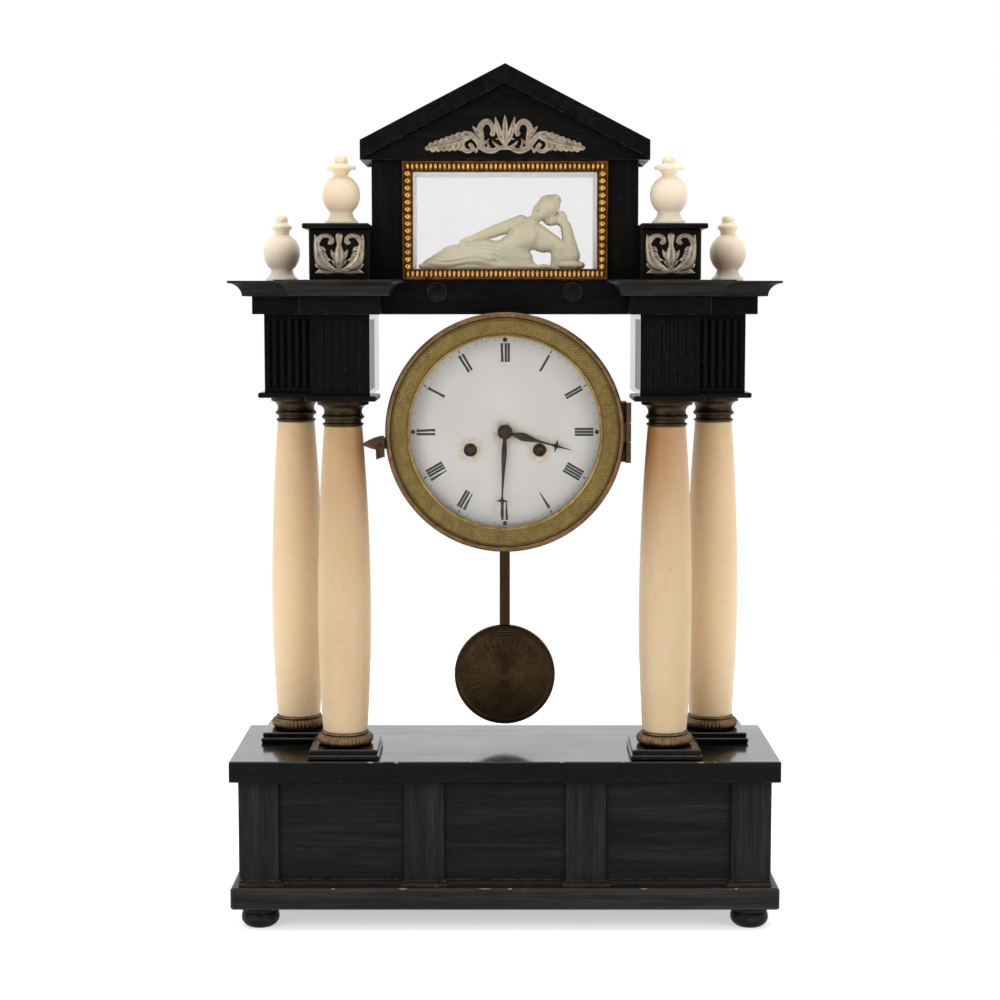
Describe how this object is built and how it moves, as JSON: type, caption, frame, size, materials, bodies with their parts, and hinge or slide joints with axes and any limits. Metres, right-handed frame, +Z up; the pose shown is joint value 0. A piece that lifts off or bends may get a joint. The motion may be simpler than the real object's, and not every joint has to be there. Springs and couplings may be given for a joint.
{
  "type": "portico clock",
  "caption": "Portico mantel clock: ebonised base and gabled entablature on swelling alabaster columns, round enamel dial in a hinged bezel over a swinging pendulum.",
  "frame": {"origin": "on the floor plane, midway between the outermost sides and between the cornice front and the base's back", "axes": "+Z up, +X to the right seen from the front, +Y from the dial to the back"},
  "size_m": [0.3368, 0.12, 0.5215],
  "materials": {
    "ebonised_wood": "ebonised, French polished",
    "alabaster": "polished, slightly translucent",
    "dark_bronze": "dark patina",
    "gilt_brass": "gilt, pressed beading",
    "pressed_brass": "silvered, pressed",
    "mirror": "silvered glass",
    "enamel": "white fired enamel",
    "bezel_brass": "engine turned, old gilding",
    "glass": "clear, domed",
    "dark_steel": "blackened",
    "steel": "plain",
    "movement_brass": "plain lacquered",
    "bob_bronze": "engine turned, dark patina",
    "bell_metal": "turned"
  },
  "bodies": {
    "case": {"bun_feet": "ebonised_wood", "base_plinth": "ebonised_wood", "base_carcass": "ebonised_wood", "base_stiles": "ebonised_wood", "base_sills": "ebonised_wood", "base_top": "ebonised_wood", "column_plates": "dark_bronze", "column_rings": "dark_bronze", "shafts_front": "alabaster", "shafts_rear": "alabaster", "column_capitals": "dark_bronze", "column_abaci": "ebonised_wood", "column_bolts": "steel", "frieze_left": "ebonised_wood", "frieze_right": "ebonised_wood", "architrave_bands": "ebonised_wood", "cornice_left": "ebonised_wood", "cornice_right": "ebonised_wood", "entablature_beam": "ebonised_wood", "attic_case": "ebonised_wood", "attic_back": "ebonised_wood", "window_frame": "gilt_brass", "mirror_plate": "mirror", "reclining_figure": "alabaster", "roof_boards": "ebonised_wood", "tympanum": "ebonised_wood", "gable_mount": "pressed_brass", "dado_blocks": "ebonised_wood", "dado_caps": "ebonised_wood", "dado_mounts": "pressed_brass", "finials": "alabaster", "drum_shell": "movement_brass", "dial": "enamel", "bezel_hinge": "movement_brass", "front_plate": "movement_brass", "back_plate": "movement_brass", "movement_pillars": "movement_brass", "suspension_cock": "movement_brass", "bell": "bell_metal", "bell_stand": "steel"},
    "bezel": {"bezel_ring": "bezel_brass", "bezel_glass": "glass"},
    "catch": {"bezel_catch": "movement_brass"},
    "centre": {"centre_wheel": "movement_brass", "minute_hand": "dark_steel"},
    "hour": {"hour_wheel": "movement_brass", "hour_hand": "dark_steel"},
    "minute_train": {"minute_wheel": "movement_brass"},
    "going_barrel_body": {"going_barrel": "movement_brass"},
    "third": {"third_wheel": "movement_brass"},
    "escape": {"escape_wheel": "movement_brass"},
    "pallet_body": {"pallets": "steel"},
    "pendulum": {"pendulum_rod": "movement_brass", "pendulum_bob": "bob_bronze"},
    "going_arbor_body": {"going_arbor": "steel"},
    "strike_arbor_body": {"strike_arbor": "steel"},
    "strike_barrel_body": {"strike_barrel": "movement_brass"},
    "pin_body": {"pin_wheel": "movement_brass"},
    "fly_body": {"fly": "movement_brass"},
    "hammer_body": {"hammer": "steel"}
  },
  "joints": [
    {"name": "minute_turn", "type": "hinge", "parent": "case", "child": "centre", "pos_m": [0, 0, 0.3026], "axis": [0, 1, 0], "continuous": true},
    {"name": "hour_turn", "type": "hinge", "parent": "case", "child": "hour", "pos_m": [0, 0, 0.3026], "axis": [0, 1, 0], "continuous": true},
    {"name": "minute_wheel_turn", "type": "hinge", "parent": "case", "child": "minute_train", "pos_m": [0, 0, 0.2906], "axis": [0, 1, 0], "continuous": true},
    {"name": "going_barrel_turn", "type": "hinge", "parent": "case", "child": "going_barrel_body", "pos_m": [0.0208, 0, 0.2917], "axis": [0, 1, 0], "continuous": true},
    {"name": "third_turn", "type": "hinge", "parent": "case", "child": "third", "pos_m": [0.01136, 0, 0.31882], "axis": [0, 1, 0], "continuous": true},
    {"name": "escape_turn", "type": "hinge", "parent": "case", "child": "escape", "pos_m": [0, 0, 0.33079], "axis": [0, 1, 0], "continuous": true},
    {"name": "pendulum_swing", "type": "hinge", "parent": "case", "child": "pendulum", "pos_m": [0, 0, 0.3499], "axis": [0, 1, 0], "range_deg": [-4, 4]},
    {"name": "pallet_rock", "type": "hinge", "parent": "case", "child": "pallet_body", "pos_m": [0, 0, 0.3499], "axis": [0, 1, 0], "range_deg": [-4, 4]},
    {"name": "going_winding", "type": "hinge", "parent": "case", "child": "going_arbor_body", "pos_m": [0.0208, 0, 0.2917], "axis": [0, 1, 0], "continuous": true},
    {"name": "strike_winding", "type": "hinge", "parent": "case", "child": "strike_arbor_body", "pos_m": [-0.0208, 0, 0.2917], "axis": [0, 1, 0], "continuous": true},
    {"name": "strike_barrel_turn", "type": "hinge", "parent": "case", "child": "strike_barrel_body", "pos_m": [-0.0208, 0, 0.2917], "axis": [0, 1, 0], "continuous": true},
    {"name": "pin_wheel_turn", "type": "hinge", "parent": "case", "child": "pin_body", "pos_m": [-0.02488, 0, 0.31483], "axis": [0, 1, 0], "continuous": true},
    {"name": "fly_turn", "type": "hinge", "parent": "case", "child": "fly_body", "pos_m": [-0.01678, 0, 0.32886], "axis": [0, 1, 0], "continuous": true},
    {"name": "hammer_swing", "type": "hinge", "parent": "case", "child": "hammer_body", "pos_m": [-0.044, 0, 0.2886], "axis": [0, 1, 0], "range_deg": [-18, 4.5], "stiffness_Nm_per_rad": 0.03},
    {"name": "bezel_swing", "type": "hinge", "parent": "case", "child": "bezel", "pos_m": [0.0738, -0.0362, 0.3026], "axis": [0, 0, 1], "range_deg": [0, 100]},
    {"name": "catch_turn", "type": "hinge", "parent": "case", "child": "catch", "pos_m": [-0.075, 0, 0.2956], "axis": [0, 1, 0], "range_deg": [0, 18]}
  ],
  "couplings": [
    {"joint": "hour_turn", "follows": "minute_turn", "ratio": 0.083333},
    {"joint": "minute_wheel_turn", "follows": "minute_turn", "ratio": -0.33333},
    {"joint": "going_barrel_turn", "follows": "minute_turn", "ratio": -0.14286},
    {"joint": "third_turn", "follows": "minute_turn", "ratio": -10},
    {"joint": "escape_turn", "follows": "minute_turn", "ratio": 90},
    {"joint": "pallet_rock", "follows": "pendulum_swing", "ratio": 1},
    {"joint": "pin_wheel_turn", "follows": "strike_barrel_turn", "ratio": -7},
    {"joint": "fly_turn", "follows": "strike_barrel_turn", "ratio": 56}
  ]
}
